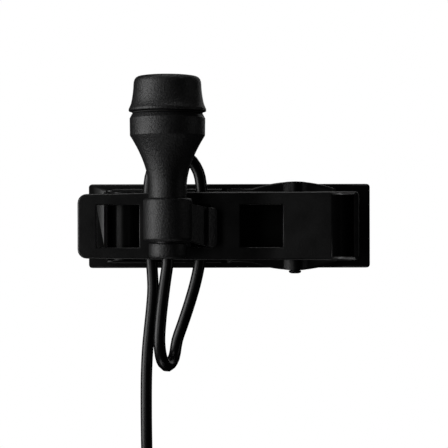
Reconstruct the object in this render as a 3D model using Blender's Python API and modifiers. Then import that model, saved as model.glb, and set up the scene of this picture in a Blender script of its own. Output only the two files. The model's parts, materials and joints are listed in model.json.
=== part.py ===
"""A miniature lavalier microphone in its spring clip, with its lead coiled and its plug.

Metres, +Z up. X runs along the clip from its gripping tip to its finger levers, -Y faces away from the
garment and Z runs up the microphone. The origin is the middle of the grip, on the front jaw's rear face.
"""

from math import cos, degrees, pi, radians, sin

import bmesh
import bpy
from mathutils import Matrix, Vector

MM = 0.001

# Clearances
RUNNING_FIT = 0.05 * MM
SEAT_GAP = 0.04 * MM
CORD_GAP = 0.3 * MM

# Spring clip, both jaws
GRIP_TO_TIP = 4.0 * MM
JAW_SHEET = 0.9 * MM
FRONT_JAW_HEIGHT = 6.76 * MM
FRONT_JAW_LENGTH = 27.8 * MM
FRONT_TIP_RADIUS = 0.9 * MM
TIP_TAPER = 0.18 * MM
FRONT_END_RADIUS = 0.4 * MM
WINDOW_WIDTH = 4.24 * MM
WINDOW_HEIGHT = 4.2 * MM
WINDOW_PITCH = 7.1 * MM
SCOOP_LENGTH = 2.4 * MM
FLARE_BEND = 4.2 * MM
FLARE_STRAIGHT = 4.2 * MM
FLARE_SLOPE = 0.1
SCOOP_DEPTH = 1.2 * MM
SCOOP_ROLL = 2.0 * MM
SCOOP_RIM = 0.33 * MM
END_LIP_WIDTH = 0.42 * MM
END_LIP_RISE = 0.2 * MM

REAR_SHEET = 0.8 * MM
REAR_TIP_SETBACK = 0.65 * MM
REAR_LENGTH = 28.8 * MM
REAR_HEIGHT = 8.6 * MM
REAR_CORNER_RADIUS = 0.35 * MM
CHANNEL_DEPTH = 4.16 * MM
REAR_WALL = 0.45 * MM
REAR_WALL_OUTSIDE = 3.75 * MM
REAR_WALL_START = 1.9 * MM
REAR_WALL_TAIL = 4.3 * MM
WALL_NOTCH_FROM_GRIP = 10.2 * MM
WALL_NOTCH_WIDTH = 1.1 * MM
WALL_NOTCH_DEPTH = 0.4 * MM
REAR_WALL_NOSE = 0.9 * MM
REAR_EAR_WALL = 0.75 * MM
LEAD_GAP = 1.4 * MM
HUMP_WIDTH = 2.5 * MM
HUMP_OFFSET = 0.4 * MM
GRIP_GAP = 0.2 * MM
TOOTH_THICKNESS = 0.48 * MM
TOOTH_SLOPE = 0.5 * MM
TOOTH_GAP = 0.18 * MM

# Hinge
HINGE_FROM_TIP = 21.65 * MM
PIN_RADIUS = 0.45 * MM
PIN_BEHIND_JAW = 1.9 * MM
PIN_HEAD_RADIUS = 0.62 * MM
PIN_HEAD_HEIGHT = 0.3 * MM
EAR_RADIUS = 1.25 * MM
EAR_THICKNESS = 0.6 * MM
EAR_SIDE_GAP = 0.25 * MM
BOSS_RISE = 0.7 * MM
BOSS_HALF_LENGTH = 4.3 * MM
SPRING_WIRE_RADIUS = 0.18 * MM
SPRING_COIL_RADIUS = 0.95 * MM
SPRING_TURNS = 5
SPRING_LEG = 2.6 * MM

# Microphone holder
RING_WALL = 0.47 * MM
RING_HEIGHT = 4.1 * MM
RING_CENTRE_Z = 0.66 * MM
PAD_THICKNESS = 0.9 * MM
BORE_WEB = 0.15 * MM
MIC_AXIS_X = 5.06 * MM
PAD_REACH = 4.76 * MM
PAD_BACK_REACH = 1.0 * MM
PAD_HEIGHT = 3.88 * MM
PAD_CENTRE_Z = -0.13 * MM
PAD_LIP_WIDTH = 0.84 * MM
PAD_LIP_RISE = 0.3 * MM
HOOK_WIDTH = 1.9 * MM
HOOK_THICKNESS = 0.45 * MM
HOOK_BARB = 0.22 * MM
HOOK_HEAD = 0.4 * MM

# Microphone body, from the holder upwards
NECK_RADIUS = 1.85 * MM
NECK_BORE_RADIUS = 1.35 * MM
NECK_ABOVE_RING = 1.15 * MM
NECK_BELOW_RING = 0.08 * MM
FUNNEL_HEIGHT = 4.89 * MM
FUNNEL_POWER = 1.75
BARREL_RADIUS = 3.63 * MM
BARREL_HEIGHT = 1.67 * MM
SHOULDER_CHAMFER = 0.41 * MM
SHOULDER_RADIUS = 3.45 * MM
GASKET_GROOVE = 0.24 * MM
GASKET_RADIUS = 3.42 * MM
SPIGOT_WALL = 0.45 * MM
SPIGOT_HEIGHT = 1.5 * MM

# Windscreen cap
CAP_HEIGHT = 3.38 * MM
CAP_LIP_RADIUS = 3.75 * MM
CAP_WAIST_RADIUS = 3.47 * MM
CAP_SHOULDER_RADIUS = 3.27 * MM
CAP_TOP_RADIUS = 2.86 * MM
CAP_ROOF = 1.05 * MM
GRILLE_RADIUS = 2.3 * MM
GRILLE_THICKNESS = 0.22 * MM
GRILLE_HOLE_RADIUS = 0.2 * MM
GRILLE_HOLE_PITCH = 0.74 * MM
SOUND_BORE_RADIUS = 2.05 * MM
FELT_THICKNESS = 0.4 * MM

# Electret capsule
CAPSULE_RADIUS = 2.45 * MM
CAPSULE_HEIGHT = 3.0 * MM
CAN_WALL = 0.15 * MM
CAN_FACE = 0.2 * MM
CAN_HOLE_RADIUS = 0.6 * MM
FRAME_WIDTH = 0.3 * MM
DIAPHRAGM_FRAME = 0.25 * MM
MEMBRANE = 0.06 * MM
SPACER = 0.08 * MM
BACKPLATE = 0.3 * MM
BOARD = 0.35 * MM
FET_SIZE = (1.1 * MM, 0.8 * MM, 0.4 * MM)

# Tail and lead
LEAD_RADIUS = 0.6 * MM
TAIL_GROOVE = 0.16 * MM
TAIL_HEIGHT = 1.5 * MM
TAIL_RADIUS = 1.84 * MM
TAIL_SPIGOT = 2.2 * MM
LEAD_IN_TAIL = 0.9 * MM
CRIMP_HEIGHT = 1.3 * MM
CRIMP_WALL = 0.5 * MM
WIRE_RADIUS = 0.16 * MM

# Coil of the lead that is put away, with its strap
COIL_CENTRE = Vector((10.55, 0.7, -38.0)) * MM
COIL_MIDDLE_RADIUS = 7.2 * MM
COIL_HALF_THICKNESS = 3.8 * MM
STRAP_WIDTH = 3.0 * MM
STRAP_THICKNESS = 0.45 * MM

# Plug
PLUG_AXIS_X = 12.65 * MM
PLUG_AXIS_Y = -8.2 * MM
PLUG_TOP_Z = -30.0 * MM
BOOT_LENGTH = 7.0 * MM
BOOT_TOP_RADIUS = 1.5 * MM
BOOT_RADIUS = 3.2 * MM
SHELL_RADIUS = 4.75 * MM
SHELL_LENGTH = 22.0 * MM
SHELL_WALL = 0.6 * MM
INSERT_LENGTH = 9.0 * MM
INSERT_SETBACK = 0.4 * MM
CONTACT_COUNT = 3
CONTACT_RADIUS = 0.55 * MM
CONTACT_BORE_RADIUS = 0.33 * MM
CONTACT_CIRCLE = 1.9 * MM
CONTACT_LENGTH = 11.0 * MM
CLAMP_LENGTH = 4.0 * MM
LATCH_WIDTH = 2.4 * MM
LATCH_LENGTH = 5.0 * MM
LATCH_PROUD = 0.35 * MM
LATCH_THICKNESS = 0.7 * MM
LATCH_FROM_FACE = 4.6 * MM

# The lead's route from the tail to the coil, and from the coil into the plug, in millimetres
LEAD_ROUTE = [
    (5.06, -3.90, -2.20), (5.04, -3.90, -3.60), (4.79, -3.90, -5.40), (4.53, -3.90, -7.40),
    (4.32, -3.90, -9.40), (4.23, -3.88, -11.30), (4.45, -3.20, -13.00), (4.96, -1.60, -13.72),
    (5.50, 0.00, -13.05), (5.80, 0.70, -11.40), (6.42, 0.74, -9.60), (7.08, 0.72, -7.60),
    (7.65, 0.70, -5.60), (8.05, 0.70, -3.60), (8.25, 0.70, -1.20), (8.30, 0.70, 1.40),
    (8.26, 0.70, 3.60), (7.96, 0.62, 5.40), (7.00, 0.48, 6.82), (5.62, 0.42, 7.22),
    (4.25, 0.48, 6.82), (3.28, 0.62, 5.40), (2.98, 0.70, 3.60), (2.93, 0.70, 1.20),
    (3.05, 0.70, -1.40), (3.28, 0.70, -4.00), (3.38, 0.74, -6.20), (3.24, 0.82, -8.20),
    (3.03, 0.86, -10.20), (2.82, 0.88, -12.40), (2.70, 0.90, -15.00), (2.67, 1.00, -18.50),
    (2.69, 1.40, -22.50), (2.73, 2.20, -26.20), (2.75, 3.05, -29.60),
]
TAIL_ROUTE = [
    (16.60, -3.30, -29.60), (15.60, -4.10, -27.20), (14.50, -5.30, -25.90), (13.40, -6.90, -25.90),
    (12.80, -7.90, -27.20), (12.65, -8.20, -28.80), (12.65, -8.20, -30.20), (12.65, -8.20, -44.00),
]
ROUTE_STEP = 1.25 * MM

COLOURS = {
    "black_moulding": ((0.018, 0.018, 0.019), 0.5, 0.0),
    "black_rubber": ((0.014, 0.014, 0.014), 0.8, 0.0),
    "lead_jacket": ((0.02, 0.02, 0.021), 0.5, 0.0),
    "black_steel": ((0.05, 0.05, 0.052), 0.35, 1.0),
    "steel": ((0.62, 0.62, 0.64), 0.3, 1.0),
    "aluminium": ((0.75, 0.75, 0.76), 0.35, 1.0),
    "gold_film": ((0.86, 0.68, 0.3), 0.25, 1.0),
    "circuit_board": ((0.02, 0.13, 0.05), 0.5, 0.0),
    "white_plastic": ((0.75, 0.74, 0.7), 0.5, 0.0),
    "grey_felt": ((0.08, 0.08, 0.085), 0.95, 0.0),
    "copper": ((0.85, 0.42, 0.25), 0.3, 1.0),
    "red_wire": ((0.45, 0.02, 0.02), 0.5, 0.0),
}

# Places that follow from the sizes
TIP_X = -GRIP_TO_TIP
FRONT_END_X = TIP_X + FRONT_JAW_LENGTH
HINGE_X = TIP_X + HINGE_FROM_TIP
WALL_INSIDE = REAR_WALL_OUTSIDE - REAR_WALL
EAR_OUTSIDE = WALL_INSIDE - EAR_SIDE_GAP
EAR_INSIDE = EAR_OUTSIDE - EAR_THICKNESS
BOSS_OUTSIDE = REAR_WALL_OUTSIDE + BOSS_RISE
REAR_TIP_X = TIP_X + REAR_TIP_SETBACK
REAR_END_X = REAR_TIP_X + REAR_LENGTH
RING_BORE = NECK_RADIUS + RUNNING_FIT
RING_OUTSIDE = RING_BORE + RING_WALL
RING_TOP_Z = RING_CENTRE_Z + RING_HEIGHT / 2
RING_BOTTOM_Z = RING_CENTRE_Z - RING_HEIGHT / 2
PAD_REAR_Y = -JAW_SHEET - SEAT_GAP
PAD_FRONT_Y = PAD_REAR_Y - PAD_THICKNESS
MIC_AXIS_Y = PAD_FRONT_Y - BORE_WEB - RING_BORE
MIDDLE_WINDOW_X = WINDOW_PITCH
NECK_BOTTOM_Z = RING_BOTTOM_Z - NECK_BELOW_RING
FUNNEL_BOTTOM_Z = RING_TOP_Z + NECK_ABOVE_RING
BARREL_BOTTOM_Z = FUNNEL_BOTTOM_Z + FUNNEL_HEIGHT
BARREL_TOP_Z = BARREL_BOTTOM_Z + BARREL_HEIGHT
SHOULDER_Z = BARREL_TOP_Z + SHOULDER_CHAMFER
CAP_BOTTOM_Z = SHOULDER_Z + GASKET_GROOVE
CAP_TOP_Z = CAP_BOTTOM_Z + CAP_HEIGHT
CAP_CEILING_Z = CAP_TOP_Z - CAP_ROOF
CHAMBER_RADIUS = CAPSULE_RADIUS + RUNNING_FIT
SPIGOT_RADIUS = CHAMBER_RADIUS + SPIGOT_WALL
CAP_BORE_RADIUS = SPIGOT_RADIUS + RUNNING_FIT
CAPSULE_TOP_Z = SHOULDER_Z + SPIGOT_HEIGHT + 0.15 * MM
CAPSULE_BOTTOM_Z = CAPSULE_TOP_Z - CAPSULE_HEIGHT
CAN_BORE_RADIUS = CAPSULE_RADIUS - CAN_WALL - RUNNING_FIT
TAIL_TOP_Z = NECK_BOTTOM_Z - TAIL_GROOVE
TAIL_BOTTOM_Z = TAIL_TOP_Z - TAIL_HEIGHT
LEAD_BORE_RADIUS = LEAD_RADIUS + RUNNING_FIT
BUSH_SPIGOT_TOP_Z = NECK_BOTTOM_Z + TAIL_SPIGOT
COIL_OUTER_RADIUS = COIL_MIDDLE_RADIUS + COIL_HALF_THICKNESS
SHELL_TOP_Z = PLUG_TOP_Z - BOOT_LENGTH
SHELL_BOTTOM_Z = SHELL_TOP_Z - SHELL_LENGTH
SHELL_BORE_RADIUS = SHELL_RADIUS - SHELL_WALL
INSERT_FACE_Z = SHELL_BOTTOM_Z + INSERT_SETBACK
LATCH_CENTRE_Z = SHELL_BOTTOM_Z + LATCH_FROM_FACE + LATCH_LENGTH / 2

for leftover in list(bpy.data.objects):
    bpy.data.objects.remove(leftover, do_unlink=True)

PARTS = bpy.data.collections.new("lavalier_microphone")
CUTTERS = bpy.data.collections.new("cutters")
bpy.context.scene.collection.children.link(PARTS)
bpy.context.scene.collection.children.link(CUTTERS)


def material(name):
    """A finish from COLOURS, made once."""
    made = bpy.data.materials.get(name)
    if made:
        return made
    colour, roughness, metallic = COLOURS[name]
    made = bpy.data.materials.new(name)
    made.use_nodes = True
    shader = made.node_tree.nodes["Principled BSDF"]
    shader.inputs["Base Color"].default_value = (*colour, 1.0)
    shader.inputs["Roughness"].default_value = roughness
    shader.inputs["Metallic"].default_value = metallic
    return made


def axis_empty(name, place):
    """An empty on a joint's or a turned assembly's axis, which its pieces are parented to."""
    empty = bpy.data.objects.new(name, None)
    empty.location = place
    PARTS.objects.link(empty)
    return empty


def piece(name, mesh, finish, parent=None):
    """A part of the object, with its finish; without a finish it is a cutter or a joined helper."""
    obj = bpy.data.objects.new(name, mesh)
    obj.parent = parent
    if finish is None:
        CUTTERS.objects.link(obj)
        obj.hide_render = True
        obj.display_type = "WIRE"
    else:
        PARTS.objects.link(obj)
        mesh.materials.append(material(finish))
    return obj


def box(name, low, high, finish=None, parent=None):
    bm = bmesh.new()
    bmesh.ops.create_cube(bm, size=1.0)
    size = Vector(high) - Vector(low)
    middle = (Vector(high) + Vector(low)) / 2
    bmesh.ops.scale(bm, vec=size, verts=bm.verts)
    bmesh.ops.translate(bm, vec=middle, verts=bm.verts)
    mesh = bpy.data.meshes.new(name)
    bm.to_mesh(mesh)
    bm.free()
    return piece(name, mesh, finish, parent)


def rod(name, radius, start, end, finish=None, parent=None, segments=24):
    """A cylinder between two points."""
    start, end = Vector(start), Vector(end)
    along = end - start
    bm = bmesh.new()
    turn = along.to_track_quat("Z", "Y").to_matrix().to_4x4()
    bmesh.ops.create_cone(bm, cap_ends=True, segments=segments, radius1=radius, radius2=radius,
                          depth=along.length, matrix=Matrix.Translation((start + end) / 2) @ turn)
    mesh = bpy.data.meshes.new(name)
    bm.to_mesh(mesh)
    bm.free()
    return piece(name, mesh, finish, parent)


def turned(name, profile, finish=None, parent=None, steps=32, closed=False, place=(0, 0, 0)):
    """A (radius, height) profile that runs down its outer side, turned about Z by a Screw modifier."""
    mesh = bpy.data.meshes.new(name)
    corners = [(r, 0, z) for r, z in profile]
    edges = [(i, i + 1) for i in range(len(corners) - 1)]
    if closed:
        edges.append((len(corners) - 1, 0))
    mesh.from_pydata(corners, edges, [])
    obj = piece(name, mesh, finish, parent)
    obj.location = place
    screw = obj.modifiers.new("turn", "SCREW")
    screw.steps = steps
    screw.render_steps = steps
    screw.use_merge_vertices = True
    screw.merge_threshold = 1e-6
    screw.use_smooth_shade = True
    return obj


def mesh_of(obj):
    """A curve object as a closed mesh object's data, with its caps welded; the curve is removed."""
    bpy.context.view_layer.update()
    graph = bpy.context.evaluated_depsgraph_get()
    mesh = bpy.data.meshes.new_from_object(obj.evaluated_get(graph))
    mesh.transform(obj.matrix_world)
    bm = bmesh.new()
    bm.from_mesh(mesh)
    bmesh.ops.remove_doubles(bm, verts=bm.verts, dist=1e-6)
    bm.to_mesh(mesh)
    bm.free()
    bpy.data.objects.remove(obj, do_unlink=True)
    return mesh


def plate(name, outline, low, high, across, finish=None):
    """A flat outline given from low to high along `across`: an (x, z) outline along Y or (x, y) along Z."""
    curve = bpy.data.curves.new(name, "CURVE")
    curve.dimensions = "2D"
    curve.fill_mode = "BOTH"
    curve.extrude = (high - low) / 2
    spline = curve.splines.new("POLY")
    spline.points.add(len(outline) - 1)
    for point, (a, b) in zip(spline.points, outline):
        point.co = (a, b, 0, 1)
    spline.use_cyclic_u = True
    guide = bpy.data.objects.new(name + "_outline", curve)
    CUTTERS.objects.link(guide)
    middle = (high + low) / 2
    if across == "Y":
        guide.rotation_euler = (pi / 2, 0, 0)
        guide.location = (0, middle, 0)
    else:
        guide.location = (0, 0, middle)
    return piece(name, mesh_of(guide), finish)


def combine(target, others, operation):
    for other in others:
        boolean = target.modifiers.new(other.name, "BOOLEAN")
        boolean.operation = operation
        boolean.object = other
        boolean.solver = "EXACT"


def cut(target, *cutters):
    combine(target, cutters, "DIFFERENCE")


def join(target, *others):
    combine(target, others, "UNION")


def arc(centre, radius, start, end, steps=5):
    """Points round a centre from one angle to another, in degrees."""
    found = []
    for i in range(steps + 1):
        angle = radians(start + (end - start) * i / steps)
        found.append((centre[0] + radius * cos(angle), centre[1] + radius * sin(angle)))
    return found


def rounded_box(left, right, bottom, top, left_radius, right_radius):
    """A rectangle's outline with rounded corners, one radius at each end."""
    return (
        arc((left + left_radius, bottom + left_radius), left_radius, 180, 270)
        + arc((right - right_radius, bottom + right_radius), right_radius, 270, 360)
        + arc((right - right_radius, top - right_radius), right_radius, 0, 90)
        + arc((left + left_radius, top - left_radius), left_radius, 90, 180)
    )


def smooth_route(route, step):
    """Points about a step apart along a Catmull-Rom curve through a route's own points."""
    fixed = [Vector(p) * MM for p in route]
    ends = [2 * fixed[0] - fixed[1]] + fixed + [2 * fixed[-1] - fixed[-2]]
    found = [fixed[0]]
    for i in range(1, len(ends) - 2):
        a, b, c, d = ends[i - 1 : i + 3]
        count = max(1, round((c - b).length / step))
        for k in range(1, count + 1):
            t = k / count
            found.append(0.5 * ((2 * b) + (c - a) * t + (2 * a - 5 * b + 4 * c - d) * t * t
                                + (3 * b - a - 3 * c + d) * t ** 3))
    return found


def tube(name, points, radius, finish, parent=None):
    """A round wire or lead along points, with filled caps."""
    curve = bpy.data.curves.new(name, "CURVE")
    curve.dimensions = "3D"
    curve.bevel_depth = radius
    curve.bevel_resolution = 2
    curve.use_fill_caps = True
    spline = curve.splines.new("POLY")
    spline.points.add(len(points) - 1)
    for point, place in zip(spline.points, points):
        point.co = (*place, 1)
    obj = bpy.data.objects.new(name, curve)
    obj.parent = parent
    PARTS.objects.link(obj)
    curve.materials.append(material(finish))
    return obj


def make_front_jaw():
    """The jaw that faces out: a tapering sheet with windows, a rimmed thumb scoop and ears for the pin."""
    lip = FRONT_END_X - END_LIP_WIDTH
    scoop_start = lip - SCOOP_LENGTH
    swell = scoop_start - SCOOP_RIM
    flare_start = scoop_start - FLARE_STRAIGHT - FLARE_BEND
    rise = FLARE_SLOPE * FLARE_BEND / 2
    flare = [(flare_start + FLARE_BEND * i / 4, -JAW_SHEET - rise * (i / 4) ** 2) for i in range(5)]
    lever_front = -JAW_SHEET - rise - FLARE_SLOPE * FLARE_STRAIGHT
    lip_front = lever_front - END_LIP_RISE
    flare.append((scoop_start, lever_front))
    section = [(TIP_X, 0), (TIP_X, -JAW_SHEET)] + flare + [(lip, lever_front), (lip, lip_front)]
    section += [(FRONT_END_X, lip_front), (FRONT_END_X, SCOOP_DEPTH), (lip, SCOOP_DEPTH), (swell, 0)]
    half = FRONT_JAW_HEIGHT / 2
    jaw = plate("front_jaw", section, -half, half, "Z", "black_moulding")
    tip_half = half - TIP_TAPER
    taper_end = WINDOW_PITCH
    outline = (
        arc((TIP_X + FRONT_TIP_RADIUS, -tip_half + FRONT_TIP_RADIUS), FRONT_TIP_RADIUS, 180, 270)
        + [(taper_end, -half)]
        + arc((FRONT_END_X - FRONT_END_RADIUS, -half + FRONT_END_RADIUS), FRONT_END_RADIUS, 270, 360)
        + arc((FRONT_END_X - FRONT_END_RADIUS, half - FRONT_END_RADIUS), FRONT_END_RADIUS, 0, 90)
        + [(taper_end, half)]
        + arc((TIP_X + FRONT_TIP_RADIUS, tip_half - FRONT_TIP_RADIUS), FRONT_TIP_RADIUS, 90, 180)
    )
    combine(jaw, [plate("front_outline", outline, -4 * JAW_SHEET, 4 * JAW_SHEET, "Y")], "INTERSECT")
    for i in range(3):
        middle = i * WINDOW_PITCH
        cut(jaw, box(f"window_{i}", (middle - WINDOW_WIDTH / 2, -3 * JAW_SHEET, -WINDOW_HEIGHT / 2),
                     (middle + WINDOW_WIDTH / 2, 3 * JAW_SHEET, WINDOW_HEIGHT / 2)))
    bottom = SCOOP_DEPTH - JAW_SHEET
    ramp = arc((scoop_start, lever_front + SCOOP_ROLL), SCOOP_ROLL, 270, 305, 8)
    pocket = [(scoop_start, -3 * JAW_SHEET)] + ramp + [(lip, bottom), (lip, -3 * JAW_SHEET)]
    rim = half - SCOOP_RIM
    cut(jaw, plate("thumb_scoop", pocket, -rim, rim, "Z"))
    for side in (-1, 1):
        low, high = sorted((side * EAR_INSIDE, side * EAR_OUTSIDE))
        root = -JAW_SHEET / 2
        outline = [(HINGE_X + EAR_RADIUS, root)] + arc((HINGE_X, PIN_BEHIND_JAW), EAR_RADIUS, 0, 180, 10)
        join(jaw, plate(f"front_ear_{side}", outline + [(HINGE_X - EAR_RADIUS, root)], low, high, "Z"))
    hole = PIN_RADIUS + RUNNING_FIT
    cut(jaw, rod("front_pin_hole", hole, (HINGE_X, PIN_BEHIND_JAW, -2 * half),
                 (HINGE_X, PIN_BEHIND_JAW, 2 * half)))
    return jaw


def rear_wall_side():
    """A side wall of the rear jaw from above: its rounded start, straight edge, pin ear and sloping tail."""
    start = REAR_TIP_X + REAR_WALL_START
    rear = CHANNEL_DEPTH + REAR_SHEET / 2
    end = HINGE_X + REAR_WALL_TAIL
    ear = PIN_RADIUS + REAR_EAR_WALL
    ear_side = (ear ** 2 - (PIN_BEHIND_JAW - LEAD_GAP) ** 2) ** 0.5
    centre = (start + REAR_WALL_NOSE, LEAD_GAP + REAR_WALL_NOSE)
    notch_end = WALL_NOTCH_FROM_GRIP + WALL_NOTCH_WIDTH
    slant = WALL_NOTCH_DEPTH / 2
    outline = [(start, rear)] + arc(centre, REAR_WALL_NOSE, 180, 270)
    outline += [(WALL_NOTCH_FROM_GRIP, LEAD_GAP), (WALL_NOTCH_FROM_GRIP + slant, LEAD_GAP + WALL_NOTCH_DEPTH),
                (notch_end - slant, LEAD_GAP + WALL_NOTCH_DEPTH), (notch_end, LEAD_GAP)]
    outline += [(HINGE_X - ear_side - 0.1 * MM, LEAD_GAP)]
    outline += arc((HINGE_X, PIN_BEHIND_JAW), ear, 215, 325, 8)
    outline += [(HINGE_X + ear_side + 0.2 * MM, LEAD_GAP + 0.1 * MM), (end, CHANNEL_DEPTH - MM), (end, rear)]
    return outline


def boss_outline(side):
    """A side wall from the front: straight inside, and outside swelling into a long boss at the pin."""
    radius = (BOSS_HALF_LENGTH ** 2 + BOSS_RISE ** 2) / (2 * BOSS_RISE)
    half_angle = degrees(2 * BOSS_RISE / BOSS_HALF_LENGTH)
    swell = arc((HINGE_X, BOSS_OUTSIDE - radius), radius, 90 - half_angle, 90 + half_angle, 12)
    outline = [(REAR_TIP_X, WALL_INSIDE), (REAR_END_X, WALL_INSIDE), (REAR_END_X, REAR_WALL_OUTSIDE)]
    outline += swell + [(REAR_TIP_X, REAR_WALL_OUTSIDE)]
    return [(x, side * z) for x, z in outline]


def make_rear_jaw(hinge):
    """The jaw behind the garment: a channel with a gripping hump, a tooth bar and two swelling ears."""
    half = REAR_HEIGHT / 2
    outline = rounded_box(REAR_TIP_X, REAR_END_X, -half, half, REAR_CORNER_RADIUS, REAR_CORNER_RADIUS)
    rear_face = CHANNEL_DEPTH + REAR_SHEET
    jaw = plate("rear_jaw", outline, CHANNEL_DEPTH, rear_face, "Y", "black_moulding")
    for side in (-1, 1):
        low, high = sorted((side * WALL_INSIDE, side * (BOSS_OUTSIDE + MM)))
        wall = plate(f"rear_wall_{side}", rear_wall_side(), low, high, "Z")
        boss = plate(f"boss_{side}", boss_outline(side), -2 * MM, CHANNEL_DEPTH + REAR_SHEET / 2, "Y")
        combine(wall, [boss], "INTERSECT")
        join(jaw, wall)
    overlap = 0.1 * MM
    hump_x = HUMP_OFFSET
    hump_r = HUMP_WIDTH / 2
    hump = [(hump_x + hump_r, CHANNEL_DEPTH + overlap)]
    hump += arc((hump_x, GRIP_GAP + hump_r), hump_r, 360, 180, 12)
    hump += [(hump_x - hump_r, CHANNEL_DEPTH + overlap)]
    reach = WALL_INSIDE + overlap
    join(jaw, plate("grip_hump", hump, -reach, reach, "Z"))
    tooth_x = hump_x - hump_r - TOOTH_GAP
    tooth = [(tooth_x, CHANNEL_DEPTH + overlap), (tooth_x - TOOTH_THICKNESS, CHANNEL_DEPTH + overlap),
             (tooth_x - TOOTH_THICKNESS, GRIP_GAP + TOOTH_SLOPE),
             (tooth_x - TOOTH_THICKNESS * 0.2, GRIP_GAP), (tooth_x, GRIP_GAP)]
    join(jaw, plate("tooth_bar", tooth, -reach, reach, "Z"))
    hole = PIN_RADIUS + RUNNING_FIT
    cut(jaw, rod("rear_pin_hole", hole, (HINGE_X, PIN_BEHIND_JAW, -2 * half),
                 (HINGE_X, PIN_BEHIND_JAW, 2 * half)))
    jaw.data.transform(Matrix.Translation(-hinge.location))
    jaw.parent = hinge
    return jaw


def make_hinge():
    """The pin with its head below, and the torsion spring round it that closes the jaws."""
    hinge = axis_empty("jaw_hinge", (HINGE_X, PIN_BEHIND_JAW, 0))
    make_front_jaw()
    make_rear_jaw(hinge)
    head_top = -BOSS_OUTSIDE - SEAT_GAP
    turned("hinge_pin", [(0, BOSS_OUTSIDE), (PIN_RADIUS, BOSS_OUTSIDE), (PIN_RADIUS, head_top),
                         (PIN_HEAD_RADIUS, head_top), (PIN_HEAD_RADIUS, head_top - PIN_HEAD_HEIGHT * 0.6),
                         (PIN_HEAD_RADIUS * 0.6, head_top - PIN_HEAD_HEIGHT),
                         (0, head_top - PIN_HEAD_HEIGHT)],
           "black_steel", hinge, steps=24)
    make_spring(hinge)


def make_spring(hinge):
    """A coil round the pin, with one leg on the front lever and one on the rear lever."""
    height = 2 * EAR_INSIDE - 2 * SPRING_WIRE_RADIUS - 0.6 * MM
    front_leg = -PIN_BEHIND_JAW + SPRING_WIRE_RADIUS + RUNNING_FIT
    rear_leg = CHANNEL_DEPTH - PIN_BEHIND_JAW - SPRING_WIRE_RADIUS - RUNNING_FIT
    turns = []
    for i in range(SPRING_TURNS * 12 - 5):
        angle = radians(-90 + 30 * i)
        share = i / (SPRING_TURNS * 12 - 6)
        turns.append((SPRING_COIL_RADIUS * cos(angle), SPRING_COIL_RADIUS * sin(angle),
                      height * (share - 0.5)))
    first = (SPRING_LEG, front_leg, turns[0][2])
    last = (SPRING_LEG, rear_leg, turns[-1][2])
    tube("torsion_spring", [first] + turns + [last], SPRING_WIRE_RADIUS, "steel", hinge)


def make_holder():
    """The ring that grips the microphone's neck, its pad on the front jaw and the two snap hooks."""
    holder = rod("mic_holder", RING_OUTSIDE, (MIC_AXIS_X, MIC_AXIS_Y, RING_BOTTOM_Z),
                 (MIC_AXIS_X, MIC_AXIS_Y, RING_TOP_Z), "black_moulding", segments=48)
    bevel = holder.modifiers.new("edge", "BEVEL")
    bevel.width = RING_WALL * 0.6
    bevel.segments = 3
    bevel.limit_method = "ANGLE"
    left = MIC_AXIS_X - PAD_BACK_REACH
    right = MIC_AXIS_X + PAD_REACH
    lip = right - PAD_LIP_WIDTH
    top = PAD_CENTRE_Z + PAD_HEIGHT / 2
    bottom = PAD_CENTRE_Z - PAD_HEIGHT / 2
    gusset_x = MIC_AXIS_X + RING_OUTSIDE * 0.9
    section = [(left, PAD_REAR_Y), (right, PAD_REAR_Y), (right, PAD_FRONT_Y - PAD_LIP_RISE),
               (lip, PAD_FRONT_Y - PAD_LIP_RISE), (lip - PAD_LIP_RISE / 2, PAD_FRONT_Y),
               (gusset_x, MIC_AXIS_Y + RING_BORE * 0.3), (left, MIC_AXIS_Y + RING_BORE * 0.3)]
    foot = plate("foot", section[::-1], RING_BOTTOM_Z - MM, RING_TOP_Z + MM, "Z")
    corner = 0.45 * MM
    face = arc((right - corner, top - corner), corner, 0, 90) + [(lip, top)]
    face += [(MIC_AXIS_X + RING_OUTSIDE, top + 0.36 * MM), (left, top + 0.36 * MM)]
    face += [(left, RING_BOTTOM_Z + 0.2 * MM), (MIC_AXIS_X + RING_OUTSIDE * 0.6, RING_BOTTOM_Z + 0.1 * MM)]
    face += [(lip, bottom)] + arc((right - corner, bottom + corner), corner, 270, 360)
    combine(foot, [plate("foot_face", face, MIC_AXIS_Y, PAD_REAR_Y, "Y")], "INTERSECT")
    join(holder, foot)
    cut(holder, rod("ring_bore", RING_BORE, (MIC_AXIS_X, MIC_AXIS_Y, RING_BOTTOM_Z - MM),
                    (MIC_AXIS_X, MIC_AXIS_Y, RING_TOP_Z + MM), segments=48))
    hook_x = MIDDLE_WINDOW_X - WINDOW_WIDTH / 2 + 0.3 * MM
    edge = WINDOW_HEIGHT / 2 - RUNNING_FIT
    hook_end = hook_x + HOOK_WIDTH
    hook_root = PAD_REAR_Y - 0.2 * MM
    barb_end = SEAT_GAP + HOOK_HEAD
    join(holder, box("window_plug", (hook_x, hook_root, -edge), (hook_end, -JAW_SHEET / 2, edge)))
    for side in (-1, 1):
        low, high = sorted((side * (edge - HOOK_THICKNESS), side * edge))
        join(holder, box(f"hook_{side}", (hook_x, hook_root, low), (hook_end, barb_end, high)))
        low, high = sorted((side * (edge - HOOK_THICKNESS), side * (edge + HOOK_BARB)))
        join(holder, box(f"barb_{side}", (hook_x, SEAT_GAP, low), (hook_end, barb_end, high)))
    return holder


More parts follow.
